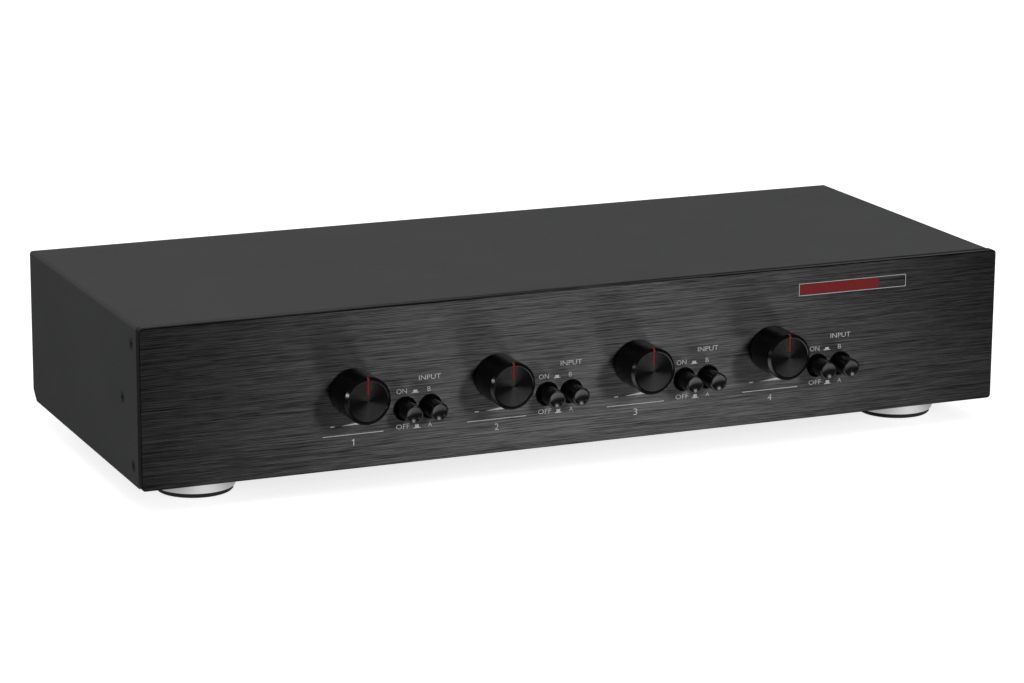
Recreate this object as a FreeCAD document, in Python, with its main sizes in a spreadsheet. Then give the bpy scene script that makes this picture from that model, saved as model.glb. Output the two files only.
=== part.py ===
import FreeCAD, Part
import math
import os
import re
import Sketcher

# Four-zone speaker selector switch, in millimetres.
# +X is to the right, -Y is the front, +Z is up. The origin is the middle of the base, on the table.
# Inside the case, depth is measured from the front panel's face and height from the case's underside.

Vector = FreeCAD.Vector
Rotation = FreeCAD.Rotation
Placement = FreeCAD.Placement

doc = FreeCAD.newDocument("SpeakerSelector")
sheet = doc.addObject("Spreadsheet::Sheet", "dims")

DIMENSIONS = {
    # case
    "case_width": 430,
    "case_height": 73.5,
    "case_depth": 172.5,
    "sheet_thickness": 1.2,
    "bend_radius": 1.8,
    "cover_inset": 0.3,
    "sheet_gap": 0.2,
    "panel_thickness": 5,
    "panel_edge": 0.4,
    "panel_corner": 1.8,
    "cover_corner_cut": 5,
    "rear_lip_height": 10,
    # front frame, base tray and rear panel
    "frame_return": 30,
    "frame_foot": 14,
    "tray_flange_height": 12,
    "tray_flange_start": 40,
    "tray_flange_length": 110,
    "rear_flange": 14,
    # one screw kind holds the whole case
    "screw_radius": 1.5,
    "screw_length": 5,
    "screw_head_radius": 2.65,
    "screw_recess_reach": 3,
    "screw_recess_width": 0.6,
    "screw_recess_depth": 0.8,
    "screw_hole_radius": 1.6,
    "screw_sink": 1.1,
    "tapped_hole_radius": 1.52,
    "panel_hole_depth": 4,
    "side_screw_depth": 13,
    "side_screw_middle_depth": 27.5,
    "side_screw_low": 8.4,
    "side_screw_middle": 36.5,
    "side_screw_high": 64.2,
    "lip_screw_spacing": 150,
    "lip_screw_drop": 5,
    "floor_screw_spacing": 120,
    "floor_screw_front": 14,
    "floor_screw_rear": 160,
    "panel_screw_spread": 200,
    "panel_screw_low": 12,
    "panel_screw_high": 61,
    # zones
    "zone_first_x": -116,
    "zone_pitch": 70,
    # volume knob
    "knob_height": 36,
    "knob_radius": 11,
    "knob_reach": 19.5,
    "knob_gap": 0.6,
    "knob_chamfer_width": 1.0,
    "knob_chamfer_depth": 1.3,
    "knob_rim_width": 0.4,
    "knob_face_drop": 0.3,
    "knob_wall": 1.8,
    "knob_hub_radius": 5.6,
    "knob_hub_drop": 1.4,
    "knob_hollow_depth": 11.5,
    "pointer_width": 1.3,
    "pointer_start": 2.8,
    "pointer_depth": 0.5,
    # shaft and rotary switch
    "shaft_radius": 3,
    "shaft_fit": 0.05,
    "shaft_end_gap": 0.1,
    "shaft_flat": 1.5,
    "shaft_flat_length": 10,
    "shaft_reach": 14.3,
    "shaft_end": 31,
    "rotor_radius": 7,
    "rotor_gap": 0.4,
    "bushing_radius": 4.5,
    "bushing_start": 1.8,
    "bushing_hole_radius": 4.6,
    "nut_hole_radius": 8,
    "nut_circumradius": 6.9,
    "nut_thickness": 2.2,
    "detent_radius": 13,
    "detent_length": 10,
    "post_radius": 1.4,
    "post_spread": 11,
    "post_length": 16,
    "wafer_radius": 14.5,
    "wafer_thickness": 1.6,
    "wafer_first": 20,
    "wafer_second": 28,
    "lug_width": 2,
    "lug_length": 3.2,
    "lug_thickness": 0.6,
    "lug_overlap": 1,
    "lug_count": 12,
    # push buttons
    "button_height": 25.4,
    "on_off_offset": 25.1,
    "input_offset": 37.3,
    "button_radius": 4.3,
    "button_hole_radius": 5.4,
    "button_reach": 11.5,
    "button_edge": 0.6,
    "dish_radius": 3.5,
    "dish_depth": 0.75,
    "button_tail": 1.3,
    "button_socket": 5,
    "plunger_radius": 1.8,
    "plunger_end": 22.5,
    "plunger_fit": 0.06,
    "plunger_hole_radius": 1.95,
    "socket_fit": 0.02,
    "switch_width": 10,
    "switch_height": 12,
    "switch_start": 6.4,
    "switch_bore_depth": 20.5,
    # switch board
    "board_depth": 34,
    "board_thickness": 1.6,
    "board_left": -136,
    "board_width": 286,
    "board_bottom": 6,
    "board_height": 60,
    "spacer_circumradius": 2.9,
    "spacer_hole_depth": 4.5,
    "spacer_centre_x": 7,
    "spacer_spread_x": 137,
    "spacer_low": 11,
    "spacer_high": 61,
    # line transformers
    "transformer_first_x": -105,
    "transformer_depth": 95,
    "core_width": 48,
    "core_height": 40,
    "core_leg": 8,
    "core_stack": 20,
    "winding_gap": 0.2,
    "winding_depth": 36,
    "bobbin_flange": 1,
    "clamp_thickness": 1,
    "clamp_gap": 0.15,
    "clamp_foot": 7,
    "clamp_width": 16,
    "clamp_screw_offset": 28.8,
    # terminal strips
    "strip_height": 38,
    "strip_tall": 24,
    "strip_base": 3.5,
    "strip_reach": 13,
    "strip_ear": 8,
    "pole_pitch": 11,
    "rib_width": 2,
    "input_strip_x": 110,
    "output_strip_x": -60,
    "pole_screw_radius": 1.7,
    "pole_screw_length": 4.5,
    "pole_head_radius": 3.5,
    "pole_head_height": 2.4,
    "pole_recess_reach": 4.6,
    "pole_recess_width": 0.9,
    "pole_recess_depth": 1.2,
    "plate_width": 8.4,
    "plate_tall": 18,
    "plate_thickness": 1,
    "plate_hole_radius": 1.9,
    "blade_width": 3,
    "blade_thickness": 0.8,
    "blade_drop": 7.5,
    "blade_length": 16,
    "blade_gap": 0.2,
    "slot_height": 6,
    # wires from the switch board to the terminals
    "wire_radius": 1.1,
    "wire_bend": 7,
    "wire_slant": 7,
    "wire_lap": 3,
    # feet
    "foot_height": 10.5,
    "foot_spread": 180,
    "foot_inset": 33,
    "foot_top_radius": 21.5,
    "foot_low_radius": 18.3,
    "foot_collar": 0.8,
    "pad_radius": 17.5,
    "pad_fit": 0.1,
    "pad_show": 2.2,
    "pad_recess": 1.5,
    "pad_edge": 0.5,
    "pad_bore_radius": 5,
    "foot_screw_radius": 2,
    "foot_screw_end": 14,
    "foot_screw_head_radius": 3.8,
    "foot_screw_head_height": 2.3,
    "foot_bore_depth": 2.5,
    "foot_hole_radius": 2.05,
}

for row, (alias, number) in enumerate(DIMENSIONS.items(), start=1):
    sheet.set("A%d" % row, alias)
    sheet.set("B%d" % row, str(number))
    sheet.setAlias("B%d" % row, alias)
doc.recompute()

ZONES = (1, 2, 3, 4)
POLES = {"input": 4, "output": 8}
BUTTON_OFFSETS = ("on_off_offset", "input_offset")
SIDE_SCREWS = (
    # depth, height
    ("side_screw_depth", "side_screw_low"),
    ("side_screw_depth", "side_screw_high"),
    ("side_screw_middle_depth", "side_screw_middle"),
)
FRONT = "((knob_reach - strip_reach - case_depth) / 2)"
REAR_FACE = "(case_depth - sheet_thickness)"
FRAME_BACK = "(panel_thickness + sheet_thickness)"
INNER_WIDTH = "(case_width - 2 * (cover_inset + sheet_thickness + sheet_gap))"
INNER_TOP = "(case_height - cover_inset - sheet_thickness - sheet_gap)"
COVER_FRONT = "(panel_thickness + 2 * sheet_gap)"

subparts = []


def formula(text):
    """Puts the sheet's name before each dimension named in a formula."""
    def with_sheet(word):
        name = word.group()
        return "dims." + name if name in DIMENSIONS else name

    return re.sub(r"[a-z_]+", with_sheet, text)


def size(alias):
    """Reads one dimension from the sheet as a number."""
    return float(sheet.get(alias))


def bind(item, **formulas):
    for name, text in formulas.items():
        item.setExpression(name, formula(text))
    return item


def place(item, x="0", y="0", z="0"):
    for axis, text in zip("xyz", (x, y, z)):
        item.setExpression("Placement.Base." + axis, formula(text))
    return item


def place_in_case(item, x="0", depth="0", height="0"):
    """Places an item from the front panel's face and the case's underside."""
    return place(item, x, FRONT + " + " + depth, "foot_height + " + height)


def keep(item, label):
    """Marks a finished sub-part, whose label names its file."""
    item.Label = label
    subparts.append(item)
    return item


def zone_x(zone):
    return "(zone_first_x + %d * zone_pitch)" % (zone - 1)


def transformer_x(zone):
    return "(transformer_first_x + %d * zone_pitch)" % (zone - 1)


# Sketches, each attached to a plane of its own body.

def new_body(name):
    return doc.addObject("PartDesign::Body", name)


def new_sketch(body, plane, name, offset="0"):
    sketch = body.newObject("Sketcher::SketchObject", name)
    support = [item for item in body.Origin.OriginFeatures if item.Role == plane][0]
    sketch.AttachmentSupport = [(support, "")]
    sketch.MapMode = "FlatFace"
    sketch.setExpression("AttachmentOffset.Base.z", formula(offset))
    return sketch


def constrain(sketch, text, *arguments):
    index = sketch.addConstraint(Sketcher.Constraint(*arguments))
    sketch.setExpression("Constraints[%d]" % index, formula(text))


def add_outline(sketch, corners):
    """Adds a closed outline of straight lines with each corner held at its formulas."""
    count = len(corners)
    first = sketch.GeometryCount
    turn = 2 * math.pi / count
    start = [Vector(math.cos(turn * k), math.sin(turn * k), 0) for k in range(count)]
    for k in range(count):
        sketch.addGeometry(Part.LineSegment(start[k], start[(k + 1) % count]), False)
    for k in range(count):
        sketch.addConstraint(Sketcher.Constraint("Coincident", first + k, 2, first + (k + 1) % count, 1))
    for k, (across, up) in enumerate(corners):
        constrain(sketch, across, "DistanceX", -1, 1, first + k, 1, start[k].x)
        constrain(sketch, up, "DistanceY", -1, 1, first + k, 1, start[k].y)


def add_rectangle(sketch, left, low, right, high):
    add_outline(sketch, [(left, low), (right, low), (right, high), (left, high)])


def add_circle(sketch, across, up, radius):
    index = sketch.addGeometry(Part.Circle(Vector(0, 0, 0), Vector(0, 0, 1), 1), False)
    constrain(sketch, radius, "Radius", index, 1)
    constrain(sketch, across, "DistanceX", -1, 1, index, 3, 0)
    constrain(sketch, up, "DistanceY", -1, 1, index, 3, 0)


# Part design features.

def add_pad(body, sketch, length, backwards=False, symmetric=False):
    pad = body.newObject("PartDesign::Pad", sketch.Name + "_pad")
    pad.Profile = sketch
    pad.Reversed = backwards
    pad.SideType = "Symmetric" if symmetric else "One side"
    return bind(pad, Length=length)


def add_pocket(body, sketch, depth=None, backwards=False):
    """Cuts to a depth, or right through both ways, and makes sure that it took something away."""
    doc.recompute()
    before = body.Shape.Volume
    pocket = body.newObject("PartDesign::Pocket", sketch.Name + "_pocket")
    pocket.Profile = sketch
    pocket.Reversed = backwards
    if depth is None:
        pocket.SideType = "Symmetric"
        pocket.Type = "ThroughAll"
    else:
        bind(pocket, Length=depth)
    doc.recompute()
    if body.Shape.Volume >= before:
        raise RuntimeError(pocket.Name + " cuts nothing")
    return pocket


def add_revolution(body, sketch, axis):
    revolution = body.newObject("PartDesign::Revolution", sketch.Name + "_turned")
    revolution.Profile = sketch
    revolution.ReferenceAxis = (sketch, [axis])
    revolution.Angle = 360
    return revolution


def edges_where(shape, test):
    return ["Edge%d" % (k + 1) for k, edge in enumerate(shape.Edges) if test(edge)]


def add_dressup(body, kind, length, test):
    """Fillets or chamfers every edge of the body's last feature that passes a test."""
    doc.recompute()
    last = body.Tip
    names = edges_where(last.Shape, test)
    if not names:
        raise RuntimeError(body.Name + " has no edge to dress")
    dressup = body.newObject("PartDesign::" + kind, body.Name + "_" + kind.lower())
    dressup.Base = (last, names)
    return bind(dressup, **{"Radius" if kind == "Fillet" else "Size": length})


def is_flat_in(edge, axis, place_of_plane):
    """True for an edge that lies in the plane across an axis at a given place."""
    box = edge.BoundBox
    low, high = {"x": (box.XMin, box.XMax), "y": (box.YMin, box.YMax), "z": (box.ZMin, box.ZMax)}[axis]
    return abs(low - place_of_plane) < 1e-4 and abs(high - place_of_plane) < 1e-4


def is_screw_rim(edge):
    """True for the rim of a clearance hole for a case screw."""
    return isinstance(edge.Curve, Part.Circle) and abs(edge.Curve.Radius - size("screw_hole_radius")) < 1e-4


def sink_screw_holes(body, axis, place_of_plane):
    """Countersinks the screw holes that open in one plane."""
    def is_seat(edge):
        return is_screw_rim(edge) and is_flat_in(edge, axis, place_of_plane)

    add_dressup(body, "Chamfer", "screw_sink", is_seat)


# Solids from primitives.

def new_box(name, lengths, corner):
    block = doc.addObject("Part::Box", name)
    bind(block, Length=lengths[0], Width=lengths[1], Height=lengths[2])
    return place(block, *corner)


def new_rod(name, radius, length, start=("0", "0", "0")):
    """A cylinder that runs along +Y from its start."""
    rod = doc.addObject("Part::Cylinder", name)
    rod.Placement = Placement(Vector(), Rotation(Vector(1, 0, 0), -90))
    bind(rod, Radius=radius, Height=length)
    return place(rod, *start)


def new_hexagon_rod(name, circumradius, length, start=("0", "0", "0")):
    rod = doc.addObject("Part::Prism", name)
    rod.Polygon = 6
    rod.Placement = Placement(Vector(), Rotation(Vector(1, 0, 0), -90))
    bind(rod, Circumradius=circumradius, Height=length)
    return place(rod, *start)


def fuse(name, items):
    joined = doc.addObject("Part::MultiFuse", name)
    joined.Shapes = items
    return joined


def cut(name, base, tools):
    result = doc.addObject("Part::Cut", name)
    result.Base = base
    result.Tool = tools[0] if len(tools) == 1 else fuse(name + "_tools", tools)
    return result


def group(name, label, shapes):
    """One node that holds several separate solids of the same piece."""
    item = doc.addObject("Part::Feature", name)
    item.Shape = Part.makeCompound(shapes)
    place_in_case(item)
    return keep(item, label)


# Where the case screws go, as point and direction, from the panel's face and the case's underside.

def strip_ear_offset(poles):
    return (poles * size("pole_pitch") + size("rib_width") + size("strip_ear")) / 2


def spacer_places():
    return [
        (size("spacer_centre_x") + side * size("spacer_spread_x"), height)
        for side in (-1, 0, 1)
        for height in (size("spacer_low"), size("spacer_high"))
    ]


def case_screw_places():
    places = []
    outer = size("case_width") / 2 - size("cover_inset")
    for side in (-1, 1):
        for depth, height in SIDE_SCREWS:
            places.append((Vector(side * outer, size(depth), size(height)), Vector(-side, 0, 0)))
    lip = size("case_height") - size("cover_inset") - size("lip_screw_drop")
    for side in (-1, 0, 1):
        lip_x = side * size("lip_screw_spacing")
        floor_x = side * size("floor_screw_spacing")
        places.append((Vector(lip_x, size("case_depth"), lip), Vector(0, -1, 0)))
        places.append((Vector(floor_x, size("floor_screw_front"), 0), Vector(0, 0, 1)))
        places.append((Vector(floor_x, size("floor_screw_rear"), 0), Vector(0, 0, 1)))
    frame_back = size("panel_thickness") + size("sheet_thickness")
    for side in (-1, 1):
        for height in (size("panel_screw_low"), size("panel_screw_high")):
            places.append((Vector(side * size("panel_screw_spread"), frame_back, height), Vector(0, -1, 0)))
    for zone in ZONES:
        centre = size("transformer_first_x") + (zone - 1) * size("zone_pitch")
        for side in (-1, 1):
            x = centre + side * size("clamp_screw_offset")
            places.append((Vector(x, size("transformer_depth"), 0), Vector(0, 0, 1)))
    board_back = size("board_depth") + size("board_thickness")
    for x, height in spacer_places():
        places.append((Vector(x, board_back, height), Vector(0, -1, 0)))
    strip_face = size("case_depth") - size("sheet_thickness") + size("strip_base")
    for kind, poles in POLES.items():
        for side in (-1, 1):
            x = size(kind + "_strip_x") + side * strip_ear_offset(poles)
            places.append((Vector(x, strip_face, size("strip_height")), Vector(0, -1, 0)))
    return places


# The front panel is a thick plate with a chamfer round its face and round every hole.

def make_front_panel():
    body = new_body("front_panel_body")
    outline = new_sketch(body, "XZ_Plane", "panel_outline")
    add_rectangle(outline, "0 - case_width / 2", "0", "case_width / 2", "case_height")
    for zone in ZONES:
        add_circle(outline, zone_x(zone), "knob_height", "nut_hole_radius")
        for offset in BUTTON_OFFSETS:
            add_circle(outline, zone_x(zone) + " + " + offset, "button_height", "button_hole_radius")
    add_pad(body, outline, "panel_thickness")
    holes = new_sketch(body, "XZ_Plane", "panel_blind_holes")
    for side in ("0 - ", ""):
        for height in ("panel_screw_low", "panel_screw_high"):
            add_circle(holes, side + "panel_screw_spread", height, "tapped_hole_radius")
    add_pocket(body, holes, "panel_hole_depth", backwards=True)
    face = -size("panel_thickness")

    def is_corner(edge):
        box = edge.BoundBox
        through = box.YLength > size("panel_thickness") - 1e-3
        return through and abs(abs(box.XMax) - size("case_width") / 2) < 1e-3

    add_dressup(body, "Fillet", "panel_corner", is_corner)
    add_dressup(body, "Chamfer", "panel_edge", lambda edge: is_flat_in(edge, "y", face))
    place_in_case(body, depth="panel_thickness")
    keep(body, "front_panel")


# The front frame is a folded upright: a wall, two side returns and a foot that is screwed to the tray.

def make_front_frame():
    body = new_body("front_frame_body")
    half = INNER_WIDTH + " / 2"
    walls = new_sketch(body, "XY_Plane", "frame_walls")
    add_outline(walls, [
        ("0 - " + half, "0"),
        (half, "0"),
        (half, "frame_return"),
        (half + " - sheet_thickness", "frame_return"),
        (half + " - sheet_thickness", "sheet_thickness"),
        ("sheet_thickness - " + half, "sheet_thickness"),
        ("sheet_thickness - " + half, "frame_return"),
        ("0 - " + half, "frame_return"),
    ])
    add_pad(body, walls, INNER_TOP + " - sheet_thickness")
    foot = new_sketch(body, "XY_Plane", "frame_foot_outline")
    add_rectangle(foot, "2 * sheet_thickness - " + half, "0", half + " - 2 * sheet_thickness", "frame_foot")
    add_pad(body, foot, "sheet_thickness")
    edge_x = size("case_width") / 2 - size("cover_inset") - size("sheet_thickness") - size("sheet_gap")

    def is_bend(edge):
        box = edge.BoundBox
        upright = box.ZLength > size("case_height") / 2
        return upright and abs(box.YMax) < 1e-4 and abs(abs(box.XMax) - edge_x) < 1e-4

    add_dressup(body, "Fillet", "bend_radius", is_bend)
    controls = new_sketch(body, "XZ_Plane", "frame_control_holes")
    for zone in ZONES:
        add_circle(controls, zone_x(zone), "knob_height - sheet_thickness", "bushing_hole_radius")
        for offset in BUTTON_OFFSETS:
            height = "button_height - sheet_thickness"
            add_circle(controls, zone_x(zone) + " + " + offset, height, "plunger_hole_radius")
    for side in ("0 - ", ""):
        for height in ("panel_screw_low", "panel_screw_high"):
            up = height + " - sheet_thickness"
            add_circle(controls, side + "panel_screw_spread", up, "screw_hole_radius")
    add_pocket(body, controls)
    side_holes = new_sketch(body, "YZ_Plane", "frame_side_holes")
    for depth, height in SIDE_SCREWS:
        up = height + " - sheet_thickness"
        add_circle(side_holes, depth + " - panel_thickness", up, "tapped_hole_radius")
    add_pocket(body, side_holes)
    floor_holes = new_sketch(body, "XY_Plane", "frame_floor_holes")
    for side in ("-1", "0", "1"):
        depth = "floor_screw_front - panel_thickness"
        add_circle(floor_holes, side + " * floor_screw_spacing", depth, "tapped_hole_radius")
    add_pocket(body, floor_holes, "sheet_thickness", backwards=True)
    sink_screw_holes(body, "y", size("sheet_thickness"))
    place_in_case(body, depth="panel_thickness", height="sheet_thickness")
    keep(body, "front_frame")


# The base tray is the floor, with low flanges folded up at both sides.

def make_base_tray():
    body = new_body("base_tray_body")
    half = INNER_WIDTH + " / 2"
    floor = new_sketch(body, "XY_Plane", "tray_floor")
    length = REAR_FACE + " - sheet_gap - panel_thickness - sheet_gap"
    add_rectangle(floor, "0 - " + half, "0", half, length)
    add_pad(body, floor, "sheet_thickness")
    flanges = new_sketch(body, "XY_Plane", "tray_flanges")
    start = "tray_flange_start"
    end = "tray_flange_start + tray_flange_length"
    add_rectangle(flanges, half + " - sheet_thickness", start, half, end)
    add_rectangle(flanges, "0 - " + half, start, "sheet_thickness - " + half, end)
    add_pad(body, flanges, "tray_flange_height")
    holes = new_sketch(body, "XY_Plane", "tray_screw_holes")
    back = " - panel_thickness - sheet_gap"
    for side in ("-1", "0", "1"):
        for depth in ("floor_screw_front", "floor_screw_rear"):
            add_circle(holes, side + " * floor_screw_spacing", depth + back, "screw_hole_radius")
    for zone in ZONES:
        for sign in (" - ", " + "):
            across = transformer_x(zone) + sign + "clamp_screw_offset"
            add_circle(holes, across, "transformer_depth" + back, "screw_hole_radius")
    add_pocket(body, holes)
    sink_screw_holes(body, "z", 0)
    foot_holes = new_sketch(body, "XY_Plane", "tray_foot_holes")
    for side in ("0 - foot_spread", "foot_spread"):
        for depth in ("foot_inset", "case_depth - foot_inset"):
            add_circle(foot_holes, side, depth + back, "foot_hole_radius")
    add_pocket(body, foot_holes)
    place_in_case(body, depth="panel_thickness + sheet_gap")
    keep(body, "base_tray")


# The rear panel is a folded wall with a flange at its foot and one at its head.

def make_rear_panel():
    body = new_body("rear_panel_body")
    profile = new_sketch(body, "YZ_Plane", "rear_profile")
    top = INNER_TOP + " - sheet_thickness"
    add_outline(profile, [
        ("0", "0"),
        ("0", top),
        ("0 - rear_flange", top),
        ("0 - rear_flange", top + " - sheet_thickness"),
        ("0 - sheet_thickness", top + " - sheet_thickness"),
        ("0 - sheet_thickness", "sheet_thickness"),
        ("0 - rear_flange", "sheet_thickness"),
        ("0 - rear_flange", "0"),
    ])
    add_pad(body, profile, INNER_WIDTH, symmetric=True)

    def is_bend(edge):
        box = edge.BoundBox
        return box.XLength > size("case_width") / 2 and abs(box.YMax) < 1e-4 and abs(box.YMin) < 1e-4

    add_dressup(body, "Fillet", "bend_radius", is_bend)
    openings = new_sketch(body, "XZ_Plane", "rear_openings")
    middle = "strip_height - sheet_thickness"
    for kind, poles in POLES.items():
        centre = kind + "_strip_x"
        reach = "(%d * pole_pitch / 2 - rib_width)" % poles
        low = middle + " - blade_drop - slot_height / 2"
        high = middle + " - blade_drop + slot_height / 2"
        add_rectangle(openings, centre + " - " + reach, low, centre + " + " + reach, high)
        ear = "(%d * pole_pitch + rib_width + strip_ear) / 2" % poles
        for sign in (" - ", " + "):
            add_circle(openings, centre + sign + ear, middle, "tapped_hole_radius")
    for side in ("-1", "0", "1"):
        lip = "case_height - cover_inset - lip_screw_drop - sheet_thickness"
        add_circle(openings, side + " * lip_screw_spacing", lip, "tapped_hole_radius")
    add_pocket(body, openings)
    floor_holes = new_sketch(body, "XY_Plane", "rear_floor_holes")
    for side in ("-1", "0", "1"):
        depth = "floor_screw_rear - " + REAR_FACE
        add_circle(floor_holes, side + " * floor_screw_spacing", depth, "tapped_hole_radius")
    add_pocket(body, floor_holes, "sheet_thickness", backwards=True)
    place_in_case(body, depth=REAR_FACE, height="sheet_thickness")
    keep(body, "rear_panel")


# The cover starts as a block: it is hollowed from below, then opened at the back above its lip.

def make_top_cover():
    body = new_body("top_cover_body")
    length = "(case_depth - " + COVER_FRONT + ")"
    top = "(case_height - cover_inset)"
    width = "(case_width - 2 * cover_inset)"
    block = new_sketch(body, "YZ_Plane", "cover_side")
    add_outline(block, [
        ("0", "0"),
        (length + " - cover_corner_cut", "0"),
        (length, "cover_corner_cut"),
        (length, top),
        ("0", top),
    ])
    add_pad(body, block, width, symmetric=True)
    hollow = new_sketch(body, "YZ_Plane", "cover_hollow")
    under = "0 - sheet_thickness"
    add_rectangle(hollow, under, under, length + " - sheet_thickness", top + " - sheet_thickness")
    doc.recompute()
    before = body.Shape.Volume
    room = body.newObject("PartDesign::Pocket", "cover_room")
    room.Profile = hollow
    room.SideType = "Symmetric"
    bind(room, Length=width + " - 2 * sheet_thickness")
    doc.recompute()
    if body.Shape.Volume > before / 2:
        raise RuntimeError("the cover is not hollow")
    window = new_sketch(body, "XZ_Plane", "cover_rear_window", offset="0 - " + length)
    half = "(" + width + " / 2 - sheet_thickness)"
    add_rectangle(window, "0 - " + half, under, half, top + " - rear_lip_height")
    add_pocket(body, window, "2 * sheet_thickness", backwards=True)
    outer = size("case_width") / 2 - size("cover_inset")
    roof = size("case_height") - size("cover_inset")
    rear = size("case_depth") - size("panel_thickness") - 2 * size("sheet_gap")

    def is_outer_bend(edge):
        box = edge.BoundBox
        high = abs(box.ZMin - roof) < 1e-4
        at_side = abs(abs(box.XMin) - outer) < 1e-4 and box.XLength < 1e-4
        at_back = abs(box.YMin - rear) < 1e-4
        return high and (at_side or at_back)

    add_dressup(body, "Fillet", "bend_radius", is_outer_bend)
    side_holes = new_sketch(body, "YZ_Plane", "cover_side_holes")
    for depth, height in SIDE_SCREWS:
        add_circle(side_holes, depth + " - " + COVER_FRONT, height, "screw_hole_radius")
    add_pocket(body, side_holes)
    lip_holes = new_sketch(body, "XZ_Plane", "cover_lip_holes")
    for side in ("-1", "0", "1"):
        add_circle(lip_holes, side + " * lip_screw_spacing", top + " - lip_screw_drop", "screw_hole_radius")
    add_pocket(body, lip_holes)

    def is_screw_seat(edge):
        on_skin = is_flat_in(edge, "x", outer) or is_flat_in(edge, "x", -outer) or is_flat_in(edge, "y", rear)
        return is_screw_rim(edge) and on_skin

    add_dressup(body, "Chamfer", "screw_sink", is_screw_seat)
    place_in_case(body, depth=COVER_FRONT)
    keep(body, "top_cover")


# A foot is a turned aluminium shell over a rubber pad.

FOOT_PLACES = {
    "front_left": ("0 - foot_spread", "foot_inset"),
    "front_right": ("foot_spread", "foot_inset"),
    "rear_left": ("0 - foot_spread", "case_depth - foot_inset"),
    "rear_right": ("foot_spread", "case_depth - foot_inset"),
}


def make_foot(corner, x, depth):
    shell = new_body("foot_shell_" + corner)
    profile = new_sketch(shell, "XZ_Plane", "foot_profile_" + corner)
    seat = "pad_show + pad_recess"
    recess = "pad_radius + pad_fit"
    add_outline(profile, [
        ("foot_hole_radius", "foot_height"),
        ("foot_top_radius", "foot_height"),
        ("foot_top_radius", "foot_height - foot_collar"),
        ("foot_low_radius", "pad_show"),
        (recess, "pad_show"),
        (recess, seat),
        ("foot_screw_head_radius + pad_edge", seat),
        ("foot_screw_head_radius + pad_edge", seat + " + foot_bore_depth"),
        ("foot_hole_radius", seat + " + foot_bore_depth"),
    ])
    add_revolution(shell, profile, "V_Axis")
    place(shell, x, FRONT + " + " + depth)
    keep(shell, corner + "_foot")
    pad = new_body("foot_pad_body_" + corner)
    ring = new_sketch(pad, "XZ_Plane", "pad_profile_" + corner)
    add_outline(ring, [
        ("pad_bore_radius", "0"),
        ("pad_radius - pad_edge", "0"),
        ("pad_radius", "pad_edge"),
        ("pad_radius", seat),
        ("pad_bore_radius", seat),
    ])
    add_revolution(pad, ring, "V_Axis")
    place(pad, x, FRONT + " + " + depth)
    keep(pad, corner + "_foot_pad")


def make_foot_screws():
    shapes = []
    seat = size("pad_show") + size("pad_recess") + size("foot_bore_depth")
    head = size("foot_screw_head_height")
    for side in (-1, 1):
        for depth in (size("foot_inset"), size("case_depth") - size("foot_inset")):
            centre = Vector(side * size("foot_spread"), depth, seat - head - size("foot_height"))
            cap = Part.makeCylinder(size("foot_screw_head_radius"), head, centre)
            shank_length = size("foot_screw_end") - seat + head
            shank = Part.makeCylinder(size("foot_screw_radius"), shank_length, centre)
            shapes.append(cap.fuse(shank))
    group("foot_screw_group", "foot_screws", shapes)


# A volume knob is turned, hollow from behind, with a flatted bore and a pointer groove in its face.

def make_volume_knob(zone):
    tag = "_%d" % zone
    body = new_body("knob_body" + tag)
    profile = new_sketch(body, "XY_Plane", "knob_profile" + tag)
    face = "knob_face_drop - knob_reach"
    rim = "knob_radius - knob_chamfer_width"
    hollow = "0 - knob_gap - knob_hollow_depth"
    add_outline(profile, [
        ("0", "0 - knob_gap - knob_hub_drop"),
        ("knob_hub_radius", "0 - knob_gap - knob_hub_drop"),
        ("knob_hub_radius", hollow),
        ("knob_radius - knob_wall", hollow),
        ("knob_radius - knob_wall", "0 - knob_gap"),
        ("knob_radius", "0 - knob_gap"),
        ("knob_radius", "knob_chamfer_depth - knob_reach"),
        (rim, "0 - knob_reach"),
        (rim + " - knob_rim_width", "0 - knob_reach"),
        (rim + " - knob_rim_width - knob_face_drop", face),
        ("0", face),
    ])
    add_revolution(body, profile, "V_Axis")
    bore_end = "0 - shaft_reach - shaft_end_gap"
    bore = new_rod("knob_bore" + tag, "shaft_radius + socket_fit", "shaft_reach", ("0", bore_end, "0"))
    flat = new_box("knob_flat" + tag, ("4 * shaft_radius", "shaft_flat_length", "shaft_radius"), (
        "-2 * shaft_radius", "0 - shaft_reach - shaft_flat / 2", "shaft_radius - shaft_flat + socket_fit"))
    groove_floor = face + " + pointer_depth"
    groove = new_box("pointer_groove" + tag, ("pointer_width", "knob_chamfer_depth", "knob_radius"), (
        "0 - pointer_width / 2", groove_floor + " - knob_chamfer_depth", "pointer_start"))
    knob = cut("knob" + tag, body, [cut("flatted_bore" + tag, bore, [flat]), groove])
    place_in_case(knob, zone_x(zone), height="knob_height")
    keep(knob, "volume_knob" + tag)


# A switch shaft carries a rotor in each of the two wafers.

def make_switch_shaft(zone):
    tag = "_%d" % zone
    rod = new_rod("shaft_rod" + tag, "shaft_radius", "shaft_reach + shaft_end", ("0", "0 - shaft_reach", "0"))
    rotors = [
        new_rod(name + tag, "rotor_radius", "wafer_thickness", ("0", depth, "0"))
        for name, depth in (("rotor_front", "wafer_first"), ("rotor_rear", "wafer_second"))
    ]
    flat = new_box("shaft_flat" + tag, ("4 * shaft_radius", "shaft_flat_length", "shaft_radius"), (
        "-2 * shaft_radius", "0 - shaft_reach", "shaft_radius - shaft_flat"))
    shaft = cut("shaft" + tag, fuse("shaft_blank" + tag, [rod] + rotors), [flat])
    place_in_case(shaft, zone_x(zone), height="knob_height")
    keep(shaft, "switch_shaft" + tag)


# A rotary switch has a bushing, a detent housing, two posts and two wafers ringed with solder lugs.

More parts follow.
